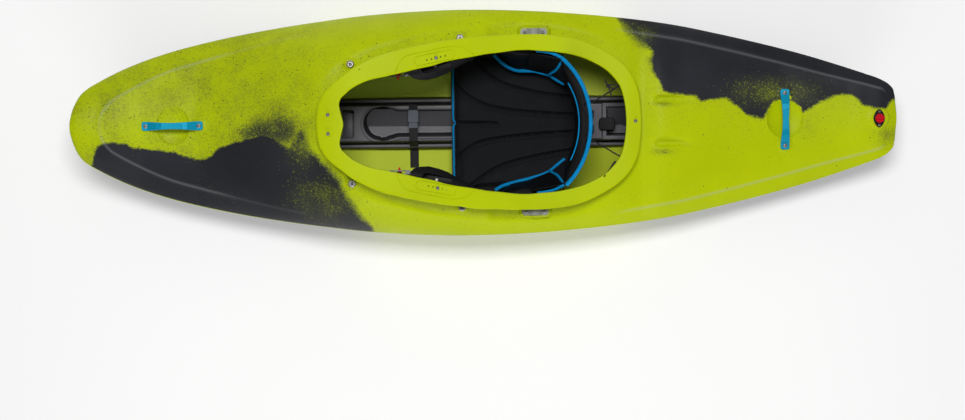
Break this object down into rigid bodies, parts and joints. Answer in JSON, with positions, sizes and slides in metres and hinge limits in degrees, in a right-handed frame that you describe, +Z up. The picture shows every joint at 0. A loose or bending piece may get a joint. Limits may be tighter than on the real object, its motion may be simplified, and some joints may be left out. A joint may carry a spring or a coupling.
{
  "type": "whitewater kayak",
  "caption": "Short one-person whitewater kayak with a flat-bottomed rockered hull, raised cockpit rim, grab handles, drain plug, padded seat, tilting backband and sliding footrests.",
  "frame": {"origin": "on the ground under the middle of the hull's length and width", "axes": "+X from the bow to the stern, +Y to starboard, +Z up"},
  "size_m": [2.3, 0.627, 0.3711],
  "materials": {
    "hull_plastic": "roto-moulded polyethylene, yellow-green above and in the rim, charcoal towards both ends",
    "teal_metal": "anodised, half gloss",
    "stainless": "plain stainless",
    "black_plastic": "moulded, satin",
    "grey_plastic": "moulded, satin",
    "red_plastic": "moulded, half gloss",
    "neoprene": "neoprene cover over foam with blue piping",
    "foam": "closed-cell foam",
    "webbing": "woven black",
    "rubber": "smooth"
  },
  "bodies": {
    "hull": {"hull_shell": "hull_plastic", "bow_handle": "teal_metal", "bow_handle_screw_front": "stainless", "bow_handle_screw_rear": "stainless", "stern_handle": "teal_metal", "stern_handle_screw_port": "stainless", "stern_handle_screw_starboard": "stainless", "drain_flange": "black_plastic", "drain_screw_port": "stainless", "drain_screw_starboard": "stainless", "rim_screw_rear": "stainless", "seat_rail": "black_plastic", "front_pillar": "foam", "rear_pillar": "foam", "seat_pan": "black_plastic", "seat_cushion": "neoprene", "backband_pin": "stainless", "backband_anchor": "webbing", "bottle_strap_starboard": "webbing", "bottle_strap_port": "webbing", "buckle_body": "grey_plastic", "buckle_tongue": "grey_plastic", "deck_bolt_front_port": "stainless", "deck_bolt_side_port": "stainless", "rim_screw_port": "stainless", "security_bar_port": "stainless", "security_bolt_port_front": "stainless", "security_bolt_port_rear": "stainless", "thigh_brace_port": "black_plastic", "thigh_pad_port": "foam", "brace_bolt_port": "stainless", "ratchet_base_port": "stainless", "tension_strap_port": "black_plastic", "backband_cord_port": "webbing", "hip_pad_port": "neoprene", "foot_rail_port": "black_plastic", "deck_bolt_front_starboard": "stainless", "deck_bolt_side_starboard": "stainless", "rim_screw_starboard": "stainless", "security_bar_starboard": "stainless", "security_bolt_starboard_front": "stainless", "security_bolt_starboard_rear": "stainless", "thigh_brace_starboard": "black_plastic", "thigh_pad_starboard": "foam", "brace_bolt_starboard": "stainless", "ratchet_base_starboard": "stainless", "tension_strap_starboard": "black_plastic", "backband_cord_starboard": "webbing", "hip_pad_starboard": "neoprene", "foot_rail_starboard": "black_plastic"},
    "backband": {"backband_shell": "black_plastic", "backband_pad": "neoprene"},
    "drain_lift": {"drain_seal": "rubber"},
    "drain_knob": {"drain_plug": "red_plastic"},
    "ratchet_lever_port": {"ratchet_lever_port": "stainless"},
    "ratchet_release_port": {"ratchet_release_port": "red_plastic"},
    "foot_plate_port": {"foot_plate_port": "black_plastic"},
    "ratchet_lever_starboard": {"ratchet_lever_starboard": "stainless"},
    "ratchet_release_starboard": {"ratchet_release_starboard": "red_plastic"},
    "foot_plate_starboard": {"foot_plate_starboard": "black_plastic"}
  },
  "joints": [
    {"name": "backband_tilt", "type": "hinge", "parent": "hull", "child": "backband", "pos_m": [0.293, 0, 0.1163], "axis": [0, 1, 0], "range_deg": [-12, 8], "deforming": ["backband_cord_port", "backband_cord_starboard", "tension_strap_port", "tension_strap_starboard"]},
    {"name": "drain_rise", "type": "slide", "parent": "hull", "child": "drain_lift", "axis": [0, 0, 1], "range_m": [0, 0.0105]},
    {"name": "drain_turn", "type": "hinge", "parent": "drain_lift", "child": "drain_knob", "pos_m": [1.0975, 0, 0.18], "axis": [0, 0, 1], "range_deg": [0, 1080]},
    {"name": "ratchet_lever_port", "type": "hinge", "parent": "hull", "child": "ratchet_lever_port", "pos_m": [-0.2145, -0.13, 0.3076], "axis": [0, 0, -1], "range_deg": [0, 60]},
    {"name": "ratchet_release_port", "type": "hinge", "parent": "hull", "child": "ratchet_release_port", "pos_m": [-0.2382, -0.139, 0.2958], "axis": [-1, 0, 0], "range_deg": [0, 15], "stiffness_Nm_per_rad": 0.05},
    {"name": "foot_plate_port", "type": "slide", "parent": "hull", "child": "foot_plate_port", "axis": [1, 0, 0], "range_m": [-0.08, 0.08]},
    {"name": "ratchet_lever_starboard", "type": "hinge", "parent": "hull", "child": "ratchet_lever_starboard", "pos_m": [-0.2145, 0.13, 0.3076], "axis": [0, 0, 1], "range_deg": [0, 60]},
    {"name": "ratchet_release_starboard", "type": "hinge", "parent": "hull", "child": "ratchet_release_starboard", "pos_m": [-0.2382, 0.139, 0.2958], "axis": [1, 0, 0], "range_deg": [0, 15], "stiffness_Nm_per_rad": 0.05},
    {"name": "foot_plate_starboard", "type": "slide", "parent": "hull", "child": "foot_plate_starboard", "axis": [1, 0, 0], "range_m": [-0.08, 0.08]}
  ],
  "couplings": [
    {"joint": "drain_turn", "follows": "drain_rise", "rad_per_m": 1795.2}
  ]
}
